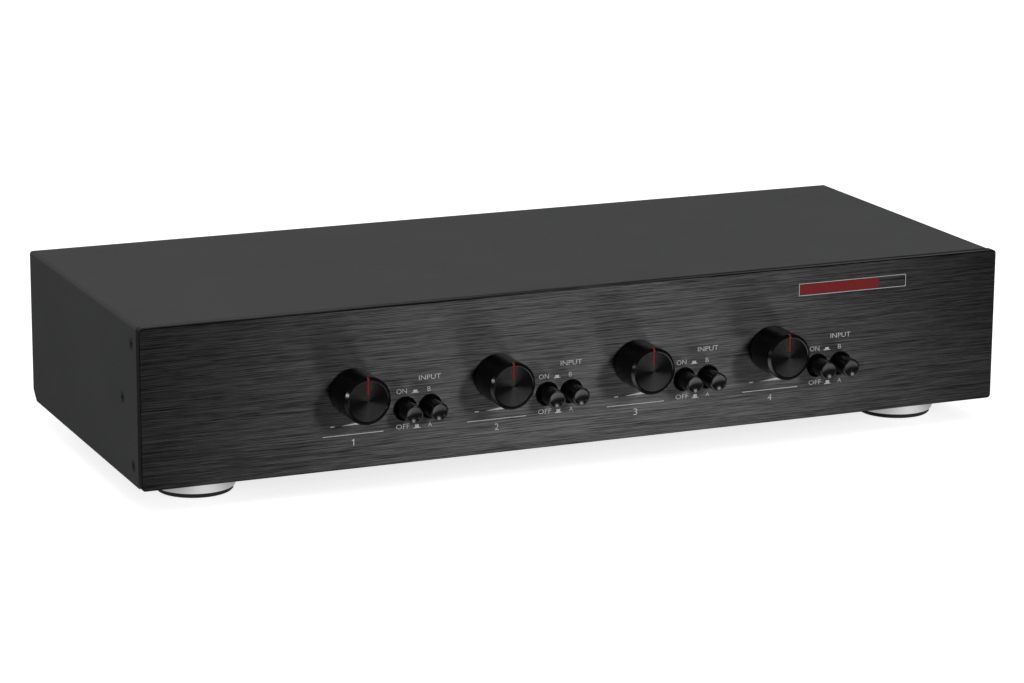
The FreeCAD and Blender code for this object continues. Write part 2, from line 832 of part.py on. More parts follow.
def make_rotary_switch(zone):
    tag = "_%d" % zone
    body = new_body("rotary_switch_body" + tag)
    housing = new_sketch(body, "XZ_Plane", "detent_outline" + tag, offset="0 - " + FRAME_BACK)
    add_circle(housing, "0", "0", "detent_radius")
    add_pad(body, housing, "detent_length", backwards=True)
    bushing = new_sketch(body, "XZ_Plane", "bushing_outline" + tag, offset="0 - bushing_start")
    add_circle(bushing, "0", "0", "bushing_radius")
    add_pad(body, bushing, FRAME_BACK + " - bushing_start", backwards=True)
    detent_back = "0 - " + FRAME_BACK + " - detent_length"
    posts = new_sketch(body, "XZ_Plane", "post_outlines" + tag, offset=detent_back)
    for side in ("0 - post_spread", "post_spread"):
        add_circle(posts, side, "0", "post_radius")
    add_pad(body, posts, "post_length", backwards=True)
    for name in ("first", "second"):
        depth = "wafer_" + name
        wafer = new_sketch(body, "XZ_Plane", "wafer_" + name + tag, offset="0 - " + depth)
        add_circle(wafer, "0", "0", "wafer_radius")
        add_circle(wafer, "0", "0", "rotor_radius + rotor_gap")
        add_pad(body, wafer, "wafer_thickness", backwards=True)
        lug = new_sketch(body, "XZ_Plane", "lug_" + name + tag, offset="0 - " + depth)
        low = "wafer_radius - lug_overlap"
        add_rectangle(lug, "0 - lug_width / 2", low, "lug_width / 2", "wafer_radius + lug_length")
        lug_pad = add_pad(body, lug, "lug_thickness", backwards=True)
        doc.recompute()
        ring = body.newObject("PartDesign::PolarPattern", "lug_ring_" + name + tag)
        ring.Originals = [lug_pad]
        ring.Axis = (lug, ["N_Axis"])
        ring.Angle = 360
        bind(ring, Occurrences="lug_count")
        body.Tip = ring
    bore = new_sketch(body, "XZ_Plane", "bushing_bore" + tag)
    add_circle(bore, "0", "0", "shaft_radius + shaft_fit")
    add_pocket(body, bore)
    place_in_case(body, zone_x(zone), height="knob_height")
    keep(body, "rotary_switch" + tag)


def make_bushing_nuts():
    shapes = []
    start = size("panel_thickness") - size("nut_thickness")
    for zone in ZONES:
        nut = new_hexagon_rod("nut_blank_%d" % zone, "nut_circumradius", "nut_thickness")
        doc.recompute()
        centre = Vector(size("zone_first_x") + (zone - 1) * size("zone_pitch"), start, size("knob_height"))
        hole_radius = size("bushing_radius") + size("socket_fit")
        hole = Part.makeCylinder(hole_radius, size("nut_thickness"), Vector(), Vector(0, 1, 0))
        shape = nut.Shape.cut(hole)
        shape.translate(centre)
        shapes.append(shape)
    group("nut_group", "bushing_nuts", shapes)


# A push button is a cap with a dished face, on the plunger of its switch.

def make_button(zone, kind):
    tag = "_%d" % zone
    offset = zone_x(zone) + " + " + kind + "_offset"
    barrel = new_body(kind + "_barrel" + tag)
    outline = new_sketch(barrel, "XZ_Plane", kind + "_outline" + tag, offset="button_reach")
    add_circle(outline, "0", "0", "button_radius")
    add_pad(barrel, outline, "button_reach + button_tail", backwards=True)
    face = -size("button_reach")
    add_dressup(barrel, "Fillet", "button_edge", lambda edge: is_flat_in(edge, "y", face))
    ball_radius = "(dish_radius * dish_radius + dish_depth * dish_depth) / (2 * dish_depth)"
    ball = doc.addObject("Part::Sphere", kind + "_dish" + tag)
    bind(ball, Radius=ball_radius)
    place(ball, y="dish_depth - button_reach - " + ball_radius)
    socket = new_rod(kind + "_socket" + tag, "plunger_radius + socket_fit", "button_socket", (
        "0", "button_tail - button_socket", "0"))
    cap = cut(kind + "_cap" + tag, barrel, [ball, socket])
    place_in_case(cap, offset, height="button_height")
    keep(cap, kind + "_button" + tag)
    front = "button_tail - button_socket"
    plunger = new_rod(kind + "_rod" + tag, "plunger_radius", "plunger_end - (" + front + ")")
    place_in_case(plunger, offset, front, "button_height")
    keep(plunger, kind + "_plunger" + tag)


def make_button_switches():
    """Eight push-push switch housings that stand on the board, each bored for its plunger."""
    shapes = []
    length = size("board_depth") - size("switch_start")
    radius = size("plunger_radius") + size("plunger_fit")
    for zone in ZONES:
        for offset in BUTTON_OFFSETS:
            x = size("zone_first_x") + (zone - 1) * size("zone_pitch") + size(offset)
            corner = Vector(x - size("switch_width") / 2, size("switch_start"),
                            size("button_height") - size("switch_height") / 2)
            housing = Part.makeBox(size("switch_width"), length, size("switch_height"), corner)
            mouth = Vector(x, size("switch_start"), size("button_height"))
            bore = Part.makeCylinder(radius, size("switch_bore_depth"), mouth, Vector(0, 1, 0))
            shapes.append(housing.cut(bore))
    group("button_switch_group", "button_switches", shapes)


# The switch board stands behind the front frame on six spacers.

def make_switch_board():
    body = new_body("switch_board_body")
    outline = new_sketch(body, "XZ_Plane", "board_outline")
    right = "board_left + board_width"
    add_rectangle(outline, "board_left", "board_bottom", right, "board_bottom + board_height")
    for side in ("-1", "0", "1"):
        for height in ("spacer_low", "spacer_high"):
            across = "spacer_centre_x + " + side + " * spacer_spread_x"
            add_circle(outline, across, height, "screw_hole_radius")
    add_pad(body, outline, "board_thickness", backwards=True)
    sink_screw_holes(body, "y", size("board_thickness"))
    place_in_case(body, depth="board_depth")
    keep(body, "switch_board")


def make_board_spacers():
    start = size("panel_thickness") + size("sheet_thickness")
    spacer = new_hexagon_rod("spacer_blank", "spacer_circumradius", "board_depth - " + FRAME_BACK)
    doc.recompute()
    end = Vector(0, size("board_depth") - start, 0)
    hole = Part.makeCylinder(size("tapped_hole_radius"), size("spacer_hole_depth"), end, Vector(0, -1, 0))
    shapes = []
    for x, height in spacer_places():
        shape = spacer.Shape.cut(hole)
        shape.translate(Vector(x, start, height))
        shapes.append(shape)
    group("spacer_group", "board_spacers", shapes)


# A line transformer: laminated core with its clamp, and a winding round the middle leg.

def make_transformer(zone):
    tag = "_%d" % zone
    laminations = new_body("laminations" + tag)
    stack = new_sketch(laminations, "XZ_Plane", "core_outline" + tag)
    half = "core_width / 2"
    add_rectangle(stack, "0 - " + half, "0", half, "core_height")
    for left in ("core_leg - core_width / 2", "core_leg"):
        add_rectangle(stack, left, "core_leg", left + " + core_leg", "core_height - core_leg")
    add_pad(laminations, stack, "core_stack", symmetric=True)
    clamp = new_body("core_clamp" + tag)
    strap = new_sketch(clamp, "XZ_Plane", "clamp_outline" + tag)
    inner = "core_width / 2 + clamp_gap"
    outer = inner + " + clamp_thickness"
    end = outer + " + clamp_foot"
    roof = "core_height + clamp_gap"
    add_outline(strap, [
        ("0 - (" + end + ")", "0"),
        ("0 - (" + inner + ")", "0"),
        ("0 - (" + inner + ")", roof),
        (inner, roof),
        (inner, "0"),
        (end, "0"),
        (end, "clamp_thickness"),
        (outer, "clamp_thickness"),
        (outer, roof + " + clamp_thickness"),
        ("0 - (" + outer + ")", roof + " + clamp_thickness"),
        ("0 - (" + outer + ")", "clamp_thickness"),
        ("0 - (" + end + ")", "clamp_thickness"),
    ])
    add_pad(clamp, strap, "clamp_width", symmetric=True)
    holes = new_sketch(clamp, "XY_Plane", "clamp_holes" + tag)
    for side in ("0 - clamp_screw_offset", "clamp_screw_offset"):
        add_circle(holes, side, "0", "tapped_hole_radius")
    add_pocket(clamp, holes, "clamp_thickness", backwards=True)
    core = doc.addObject("Part::Compound", "core" + tag)
    core.Links = [laminations, clamp]
    place_in_case(core, transformer_x(zone), "transformer_depth", "sheet_thickness")
    keep(core, "transformer_core" + tag)

    winding = new_body("winding" + tag)
    gap = "winding_gap"
    hole_x = "core_leg + " + gap
    hole_y = "core_stack / 2 + " + gap
    tall = "core_height - 2 * core_leg - 2 * " + gap
    wide = "2 * core_leg - " + gap
    deep = "winding_depth / 2"
    shapes = (
        ("lower_flange", "0", "bobbin_flange", wide, deep),
        ("coil", "0", tall, wide + " - 2 * " + gap, deep + " - bobbin_flange"),
        ("upper_flange", tall + " - bobbin_flange", "bobbin_flange", wide, deep),
    )
    for name, start, height, reach, depth in shapes:
        ring = new_sketch(winding, "XY_Plane", name + tag, offset=start)
        add_rectangle(ring, "0 - (" + reach + ")", "0 - (" + depth + ")", reach, depth)
        add_rectangle(ring, "0 - (" + hole_x + ")", "0 - (" + hole_y + ")", hole_x, hole_y)
        add_pad(winding, ring, height)
    height = "sheet_thickness + core_leg + " + gap
    place_in_case(winding, transformer_x(zone), "transformer_depth", height)
    keep(winding, "transformer_winding" + tag)


# A terminal strip is a base with ribs between its poles and an ear at each end.

def pole_places(kind):
    poles = POLES[kind]
    pitch = size("pole_pitch")
    first = size(kind + "_strip_x") - (poles - 1) * pitch / 2
    return [first + k * pitch for k in range(poles)]


def make_terminal_strip(kind):
    poles = POLES[kind]
    body = new_body(kind + "_strip_body")
    half_poles = "%d * pole_pitch / 2" % poles
    half = half_poles + " + rib_width / 2 + strip_ear"
    base = new_sketch(body, "XY_Plane", kind + "_strip_base")
    add_rectangle(base, "0 - (" + half + ")", "0", half, "strip_base")
    add_pad(body, base, "strip_tall", symmetric=True)
    rib = new_sketch(body, "XY_Plane", kind + "_strip_rib")
    left = "0 - (" + half_poles + ") - rib_width / 2"
    add_rectangle(rib, left, "0", left + " + rib_width", "strip_reach + sheet_thickness")
    rib_pad = add_pad(body, rib, "strip_tall", symmetric=True)
    doc.recompute()
    ribs = body.newObject("PartDesign::LinearPattern", kind + "_strip_ribs")
    ribs.Originals = [rib_pad]
    ribs.Direction = (rib, ["H_Axis"])
    ribs.Occurrences = poles + 1
    bind(ribs, Length="%d * pole_pitch" % poles)
    body.Tip = ribs
    holes = new_sketch(body, "XZ_Plane", kind + "_strip_holes")
    for k in range(poles):
        pole = "(%d + 0.5) * pole_pitch - %s" % (k, half_poles)
        add_circle(holes, pole, "0", "plate_hole_radius")
        across = "(blade_width / 2 + blade_gap)"
        tall = "(blade_thickness / 2 + blade_gap)"
        low = "0 - blade_drop - " + tall
        add_rectangle(holes, pole + " - " + across, low, pole + " + " + across, "0 - blade_drop + " + tall)
    ear = "(%d * pole_pitch + rib_width + strip_ear) / 2" % poles
    for sign in ("0 - ", ""):
        add_circle(holes, sign + ear, "0", "screw_hole_radius")
    add_pocket(body, holes)
    sink_screw_holes(body, "y", size("strip_base"))
    place_in_case(body, kind + "_strip_x", REAR_FACE, "strip_height")
    keep(body, kind + "_terminal_strip")


def make_terminal_plates():
    """Contact plates: each lies in its channel, and its blade runs through the strip into the case."""
    shapes = []
    face = size("case_depth") - size("sheet_thickness") + size("strip_base")
    middle = size("strip_height")
    for kind in POLES:
        for x in pole_places(kind):
            corner = Vector(x - size("plate_width") / 2, face, middle - size("plate_tall") / 2)
            plate = Part.makeBox(size("plate_width"), size("plate_thickness"), size("plate_tall"), corner)
            blade_corner = Vector(x - size("blade_width") / 2, face - size("blade_length"),
                                  middle - size("blade_drop") - size("blade_thickness") / 2)
            blade = Part.makeBox(
                size("blade_width"), size("blade_length"), size("blade_thickness"), blade_corner)
            hole_centre = Vector(x, face, middle)
            hole = Part.makeCylinder(
                size("plate_hole_radius"), size("plate_thickness"), hole_centre, Vector(0, 1, 0))
            shapes.append(plate.fuse(blade).cut(hole))
    group("terminal_plate_group", "terminal_plates", shapes)


def make_cross_recess(top, direction, across, reach, width, depth):
    """Two crossed slots sunk into a screw's head from its top."""
    side = direction.cross(across)
    slots = []
    for along, over in ((across, side), (side, across)):
        corner = top - along * (reach / 2) - over * (width / 2)
        far = corner + along * reach
        outline = Part.makePolygon([corner, far, far + over * width, corner + over * width, corner])
        slots.append(Part.Face(outline).extrude(direction * depth))
    return slots[0].fuse(slots[1])


def make_terminal_screws():
    shapes = []
    face = size("case_depth") - size("sheet_thickness") + size("strip_base") + size("plate_thickness")
    inward = Vector(0, -1, 0)
    for kind in POLES:
        for x in pole_places(kind):
            seat = Vector(x, face, size("strip_height"))
            top = seat - inward * size("pole_head_height")
            head = Part.makeCylinder(size("pole_head_radius"), size("pole_head_height"), seat, -inward)
            shank = Part.makeCylinder(size("pole_screw_radius"), size("pole_screw_length"), seat, inward)
            recess = make_cross_recess(top, inward, Vector(1, 0, 0), size("pole_recess_reach"),
                                       size("pole_recess_width"), size("pole_recess_depth"))
            shapes.append(head.fuse(shank).cut(recess))
    group("terminal_screw_group", "terminal_screws", shapes)


# The case screws are all the same countersunk screw.

def make_case_screw(point, direction):
    head_depth = size("screw_head_radius") - size("screw_radius")
    head = Part.makeCone(size("screw_head_radius"), size("screw_radius"), head_depth, point, direction)
    shank = Part.makeCylinder(size("screw_radius"), size("screw_length"), point, direction)
    across = Vector(0, 0, 1) if abs(direction.z) < 0.5 else Vector(1, 0, 0)
    recess = make_cross_recess(point, direction, across, size("screw_recess_reach"),
                               size("screw_recess_width"), size("screw_recess_depth"))
    return head.fuse(shank).cut(recess)


def make_case_screws():
    group("case_screw_group", "case_screws", [make_case_screw(*spot) for spot in case_screw_places()])


# Two wires per circuit run from the switch board along the gaps between the transformers.

WIRE_RUNS = (
    # strip, first pole, x where it leaves the board, depth of the middle of its slanted stretch
    ("output", 0, -133, 134),
    ("output", 2, -70, 140),
    ("output", 4, 0, 126),
    ("output", 6, 70, 143),
    ("input", 0, 135, 126),
    ("input", 2, 142, 143),
)


def make_round_path(corners, radius):
    """Straight runs joined by tangent arcs."""
    edges = []
    start = corners[0]
    for before, corner, after in zip(corners, corners[1:], corners[2:]):
        back = (before - corner).normalize()
        ahead = (after - corner).normalize()
        half_angle = back.getAngle(ahead) / 2
        reach = radius / math.tan(half_angle)
        first = corner + back * reach
        last = corner + ahead * reach
        bisector = (back + ahead).normalize()
        middle = corner + bisector * (radius / math.sin(half_angle) - radius)
        edges.append(Part.LineSegment(start, first).toShape())
        edges.append(Part.Arc(first, middle, last).toShape())
        start = last
    edges.append(Part.LineSegment(start, corners[-1]).toShape())
    return Part.Wire(edges)


def make_wire(corners):
    path = make_round_path(corners, size("wire_bend"))
    ring = Part.Wire(Part.makeCircle(size("wire_radius"), corners[0], corners[1] - corners[0]))
    tube = path.makePipeShell([ring], True, False)
    expected = math.pi * size("wire_radius") ** 2 * path.Length
    if abs(tube.Volume - expected) > 0.01 * expected:
        raise RuntimeError("a wire's volume does not match its length")
    return tube


def make_wiring():
    """The wires of a pair keep above and below their blades, and lap them where they are soldered."""
    board_back = size("board_depth") + size("board_thickness")
    strip_face = size("case_depth") - size("sheet_thickness") + size("strip_base")
    wire_end = strip_face - size("blade_length") + size("wire_lap")
    blade_height = size("strip_height") - size("blade_drop")
    lift = size("blade_thickness") / 2 + size("wire_radius")
    shapes = []
    for kind, first_pole, start_x, turn_depth in WIRE_RUNS:
        for k, sign in ((0, -1), (1, 1)):
            pole_x = pole_places(kind)[first_pole + k]
            height = blade_height + sign * lift
            shapes.append(make_wire([
                Vector(start_x, board_back, height),
                Vector(start_x, turn_depth - size("wire_slant"), height),
                Vector(pole_x, turn_depth + size("wire_slant"), height),
                Vector(pole_x, wire_end, height),
            ]))
    group("wire_group", "wiring", shapes)


make_front_panel()
make_front_frame()
make_base_tray()
make_rear_panel()
make_top_cover()
for foot_corner, (foot_x, foot_depth) in FOOT_PLACES.items():
    make_foot(foot_corner, foot_x, foot_depth)
make_foot_screws()
for zone_number in ZONES:
    make_volume_knob(zone_number)
    make_switch_shaft(zone_number)
    make_rotary_switch(zone_number)
    make_button(zone_number, "on_off")
    make_button(zone_number, "input")
    make_transformer(zone_number)
make_bushing_nuts()
make_button_switches()
make_switch_board()
make_board_spacers()
for strip_kind in POLES:
    make_terminal_strip(strip_kind)
make_terminal_plates()
make_terminal_screws()
make_case_screws()
make_wiring()

doc.recompute()
for item in doc.Objects:
    if "Invalid" in item.State or "Error" in item.State:
        raise RuntimeError(item.Name + " failed to recompute")
for item in subparts:
    if item.Shape.isNull() or not item.Shape.isValid():
        raise RuntimeError(item.Label + " has no valid shape")

os.makedirs("parts", exist_ok=True)
for item in subparts:
    item.Shape.exportStep(os.path.join("parts", item.Label + ".step"))
print(len(subparts), "sub-parts")
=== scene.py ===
import math

import bmesh
import bpy
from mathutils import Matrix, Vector


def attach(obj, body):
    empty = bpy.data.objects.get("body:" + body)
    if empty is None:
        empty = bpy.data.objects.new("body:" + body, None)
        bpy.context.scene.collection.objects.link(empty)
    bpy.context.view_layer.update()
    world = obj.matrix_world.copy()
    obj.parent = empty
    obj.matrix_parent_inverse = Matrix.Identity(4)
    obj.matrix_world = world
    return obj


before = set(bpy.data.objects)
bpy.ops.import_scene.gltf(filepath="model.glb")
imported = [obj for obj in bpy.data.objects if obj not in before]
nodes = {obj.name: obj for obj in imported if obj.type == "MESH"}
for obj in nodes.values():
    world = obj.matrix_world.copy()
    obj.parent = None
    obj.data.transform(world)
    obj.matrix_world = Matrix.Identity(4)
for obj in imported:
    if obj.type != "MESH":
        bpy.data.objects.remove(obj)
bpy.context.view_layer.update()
panelFace = -0.083       # the front panel's outer face
rearFace = 0.0883        # the rear panel's outer face
caseBottom = 0.0105      # the case starts this far above the floor
zoneStart, zonePitch = -0.116, 0.07
print("frame loaded,", len(nodes), "parts")


cameraLook = {
    "lens": 124.1,
    "position": (-0.66041, -1.50941, 0.44986),
    "turn": (76.0112, -0.3552, -23.4640),      # degrees
}


def makeCamera(look):
    data = bpy.data.cameras.new("productCamera")
    data.sensor_width = 36
    data.lens = look["lens"]
    data.clip_start, data.clip_end = 0.05, 60
    camera = bpy.data.objects.new("productCamera", data)
    camera.location = look["position"]
    camera.rotation_euler = [math.radians(angle) for angle in look["turn"]]
    bpy.context.collection.objects.link(camera)
    bpy.context.scene.camera = camera


makeCamera(cameraLook)
print("camera placed")


class Wire:
    # a socket whose sums, products and comparisons add Math nodes
    def __init__(self, graph, socket):
        self.graph = graph
        self.socket = socket

    def __add__(self, other):
        return self.graph.maths("ADD", self, other)

    def __radd__(self, other):
        return self.graph.maths("ADD", other, self)

    def __sub__(self, other):
        return self.graph.maths("SUBTRACT", self, other)

    def __rsub__(self, other):
        return self.graph.maths("SUBTRACT", other, self)

    def __mul__(self, other):
        return self.graph.maths("MULTIPLY", self, other)

    def __rmul__(self, other):
        return self.graph.maths("MULTIPLY", other, self)

    def __truediv__(self, other):
        return self.graph.maths("DIVIDE", self, other)

    def __pow__(self, other):
        return self.graph.maths("POWER", self, other)

    def __lt__(self, other):
        return self.graph.maths("LESS_THAN", self, other)

    def __gt__(self, other):
        return self.graph.maths("GREATER_THAN", self, other)

    def __abs__(self):
        return self.graph.maths("ABSOLUTE", self)


class Graph:
    # builds one node tree, for a surface, the world or a Geometry Nodes modifier
    def __init__(self, tree):
        self.tree = tree

    def node(self, kind, settings=None, inputs=None, output=0):
        made = self.tree.nodes.new(kind)
        for name, value in (settings or {}).items():
            setattr(made, name, value)
        for name, value in (inputs or {}).items():
            if isinstance(value, Wire):
                self.tree.links.new(value.socket, made.inputs[name])
            else:
                made.inputs[name].default_value = value
        if isinstance(output, tuple):
            return tuple(Wire(self, made.outputs[each]) for each in output)
        return Wire(self, made.outputs[output])

    def maths(self, operation, *values):
        return self.node("ShaderNodeMath", {"operation": operation}, dict(enumerate(values)))

    def axes(self):
        # the piece's own x, y and z in metres
        place = self.node("ShaderNodeTexCoord", output="Object")
        return self.node("ShaderNodeSeparateXYZ", inputs={0: place}, output=(0, 1, 2))

    def grain(self, size, detail=2, roughness=0.5):
        # noise from 0 to 1 whose spots are size metres large, one number or one per axis
        sizes = size if isinstance(size, tuple) else (size, size, size)
        place = self.node("ShaderNodeTexCoord", output="Object")
        scale = [1 / each for each in sizes]
        scaled = self.node("ShaderNodeMapping", inputs={"Vector": place, "Scale": scale})
        return self.node("ShaderNodeTexNoise", inputs={
            "Vector": scaled, "Scale": 1, "Detail": detail, "Roughness": roughness})

    def rings(self, radius, width):
        # lathe grooves as noise along the radius alone
        return self.node("ShaderNodeTexNoise", {"noise_dimensions": "1D"}, {
            "W": radius / width, "Scale": 1, "Detail": 1})

    def bell(self, wire):
        # 1 at 0 and a third of that near 1.5
        return self.maths("EXPONENT", wire * wire * -0.5)

    def between(self, low, high, wire):
        # 0 at low, 1 at high, smooth in between
        return self.node("ShaderNodeMapRange", {"interpolation_type": "SMOOTHSTEP"}, {
            "Value": wire, "From Min": low, "From Max": high})

    def tint(self, share, first, second):
        # one colour turning into another; either may be a wire
        ends = [each if isinstance(each, Wire) else (*each, 1) for each in (first, second)]
        return self.node("ShaderNodeMix", {"data_type": "RGBA"}, {0: share, 6: ends[0], 7: ends[1]}, 2)

    def bump(self, height, depth):
        # a rise of depth metres where height is 1
        return self.node("ShaderNodeBump", inputs={"Height": height, "Distance": depth})


def makeSurface(name, fixed, build):
    # fixed holds plain numbers for the shader's sockets, build returns the wires of what varies
    material = bpy.data.materials.new(name)
    material.use_nodes = True
    shader = material.node_tree.nodes["Principled BSDF"]
    for socket, value in fixed.items():
        shader.inputs[socket].default_value = value
    for socket, wire in build(Graph(material.node_tree)).items():
        material.node_tree.links.new(wire.socket, shader.inputs[socket])
    return material


def coat(surface, *names):
    # gives a finish to parts of the frame
    for name in names:
        part = nodes[name]
        for place in part.material_slots:
            place.material = surface


zones = (1, 2, 3, 4)


def zoneNames(stem):
    return [stem + "_" + str(zone) for zone in zones]


panelLook = {
    "dark": (0.010, 0.010, 0.0105),
    "light": (0.094, 0.094, 0.0935),
    "roughness": 0.36,
    "stroke": (0.06, 0.02, 0.00032),       # length, depth and width of a long brush mark
    "dash": (0.022, 0.02, 0.00038),        # of a broken one
    "fleck": (0.008, 0.02, 0.0003),        # and of a short dark one
    "shares": (0.4, 0.35, 0.25),           # how much each kind counts in the tone
    "contrast": (0.3, 0.7),
    "edge": (0.004, 0.004, 0.0045),        # black of the two short side edges
    "edgeStart": 0.2148,
    "groove": 0.00002,
}


def brushedPanel(graph, look=panelLook):
    x, y, z = graph.axes()
    marks = [graph.grain(look[name], 1, 0.6) for name in ("stroke", "dash", "fleck")]
    long, broken, short = [mark * share for mark, share in zip(marks, look["shares"])]
    brushed = graph.tint(graph.between(*look["contrast"], long + broken + short), look["dark"], look["light"])
    return {
        "Base Color": graph.tint(abs(x) > look["edgeStart"], brushed, look["edge"]),
        "Roughness": look["roughness"] + 0.04 * marks[2],
        "Normal": graph.bump(marks[1], look["groove"]),
    }


panelSurface = makeSurface("brushedBlack", {
    "Metallic": 1, "Anisotropic": 1, "Anisotropic Rotation": 0.25}, brushedPanel)
coat(panelSurface, "front_panel")


coverLook = {"paint": (0.050, 0.051, 0.053), "patch": (0.054, 0.055, 0.057), "roughness": 0.5, "peel": 0.0007}


def satinPaint(look):
    def build(graph):
        cloud = graph.grain(0.04, 3)
        peel = graph.grain(look["peel"], 2)
        return {
            "Base Color": graph.tint(graph.between(0.3, 0.7, cloud), look["paint"], look["patch"]),
            "Roughness": look["roughness"] + 0.08 * peel,
            "Normal": graph.bump(peel, 0.00001),
        }
    return build


coat(makeSurface("coverPaint", {"Specular IOR Level": 0.35}, satinPaint(coverLook)), "top_cover")

trayLook = {"paint": (0.028, 0.028, 0.029), "patch": (0.033, 0.033, 0.034), "roughness": 0.5, "peel": 0.0009}
coat(makeSurface("trayPaint", {"Specular IOR Level": 0.4}, satinPaint(trayLook)), "base_tray")

rearLook = {"paint": (0.030, 0.030, 0.031), "patch": (0.036, 0.036, 0.037), "roughness": 0.46, "peel": 0.0008}
coat(makeSurface("rearPaint", {"Specular IOR Level": 0.4}, satinPaint(rearLook)), "rear_panel")

# near-black paint on the front frame, which also gives the gaps round the buttons their painted shade
frameLook = {
    "paint": (0.014, 0.014, 0.015),
    "patch": (0.019, 0.019, 0.020),
    "roughness": 0.72,
    "peel": 0.0006,
}
coat(makeSurface("framePaintAndGapShade", {"Specular IOR Level": 0.25}, satinPaint(frameLook)), "front_frame")


knobLook = {
    "black": (0.0025, 0.0025, 0.003),
    "faceBlack": (0.002, 0.002, 0.0022),
    "roughness": 0.13,
    "smear": 0.004,              # size of the faint patches left by fingers
    "faceRadius": 0.0094,
    "faceDepth": -0.1019,
    "centreHeight": 0.0465,
    "grooveWidth": 0.0002,       # lathe grooves on the face alone
    "groove": 0.00002,
}


def zoneAcross(graph, x):
    # x measured from the nearest knob's axis
    place = graph.maths("FRACT", (x - (zoneStart - zonePitch / 2)) / zonePitch)
    return place * zonePitch - zonePitch / 2


def turnedKnob(graph, look=knobLook):
    x, y, z = graph.axes()
    across, up = zoneAcross(graph, x), z - look["centreHeight"]
    radius = (across * across + up * up) ** 0.5
    face = (radius < look["faceRadius"]) * (y < look["faceDepth"])
    smear = graph.grain(look["smear"], 3)
    grooves = graph.maths("SINE", radius * (2 * math.pi / look["grooveWidth"])) * 0.5 + 0.5
    return {
        "Base Color": graph.tint(face, look["black"], look["faceBlack"]),
        "Roughness": look["roughness"] + 0.06 * smear,
        "Normal": graph.bump(grooves * face, look["groove"]),
    }


coat(makeSurface("knobBlack", {"IOR": 1.38}, turnedKnob), *zoneNames("volume_knob"))

buttonLook = {
    "black": (0.0025, 0.0025, 0.003),
    "worn": (0.005, 0.005, 0.0055),
    "roughness": 0.2,
    "smear": 0.003,
}


def glossButton(graph, look=buttonLook):
    smear = graph.grain(look["smear"], 3)
    return {
        "Base Color": graph.tint(smear, look["black"], look["worn"]),
        "Roughness": look["roughness"] + 0.05 * smear,
        "Normal": graph.bump(graph.grain(0.0012, 1), 0.000002),
    }


coat(makeSurface("buttonBlack", {"IOR": 1.4}, glossButton),
     *zoneNames("on_off_button"), *zoneNames("input_button"))


def plainGrain(low, high, size, roughness, depth):
    # a colour that drifts a little, with a fine tooth
    def build(graph):
        spots = graph.grain(size, 3)
        return {
            "Base Color": graph.tint(graph.between(0.25, 0.75, spots), low, high),
            "Roughness": roughness + 0.1 * spots,
            "Normal": graph.bump(spots, depth),
        }
    return build


shaftLook = {"low": (0.42, 0.42, 0.43), "high": (0.52, 0.52, 0.52), "roughness": 0.28}
coat(makeSurface("shaftSteel", {"Metallic": 1}, plainGrain(
    shaftLook["low"], shaftLook["high"], (0.0002, 0.004, 0.0002), shaftLook["roughness"], 0.000004)),
    *zoneNames("switch_shaft"))

nylonLook = {"low": (0.66, 0.65, 0.60), "high": (0.72, 0.71, 0.67), "roughness": 0.5}
coat(makeSurface("plungerNylon", {}, plainGrain(
    nylonLook["low"], nylonLook["high"], 0.0015, nylonLook["roughness"], 0.000004)),
    *zoneNames("on_off_plunger"), *zoneNames("input_plunger"))


footLook = {
    "low": (0.56, 0.56, 0.57),
    "high": (0.66, 0.66, 0.67),
    "roughness": 0.27,
    "centre": (0.18, 0.00325, 0.05325),      # x, middle of the two rows, half the way between them
    "grooveWidth": 0.00022,
    "groove": 0.000012,
}


def footRadius(graph, x, y, look=footLook):
    # distance from the nearest foot's axis
    centre = look["centre"]
    across, along = abs(x) - centre[0], abs(y - centre[1]) - centre[2]
    return (across * across + along * along) ** 0.5


def turnedFoot(graph, look=footLook):
    x, y, z = graph.axes()
    radius = footRadius(graph, x, y)
    turned = graph.rings(radius + z, look["grooveWidth"])
    return {
        "Base Color": graph.tint(turned, look["low"], look["high"]),
        "Roughness": look["roughness"] + 0.1 * turned,
        "Normal": graph.bump(turned, look["groove"]),
    }


corners = ("front_left", "front_right", "rear_left", "rear_right")
footSurface = makeSurface("footAluminium", {
    "Metallic": 1, "Anisotropic": 0.6, "Anisotropic Rotation": 0.25}, turnedFoot)
coat(footSurface, *[corner + "_foot" for corner in corners])

padLook = {"low": (0.012, 0.012, 0.012), "high": (0.020, 0.020, 0.020), "roughness": 0.72}
coat(makeSurface("footRubber", {"Specular IOR Level": 0.3}, plainGrain(
    padLook["low"], padLook["high"], 0.0008, padLook["roughness"], 0.00003)),
    *[corner + "_foot_pad" for corner in corners])


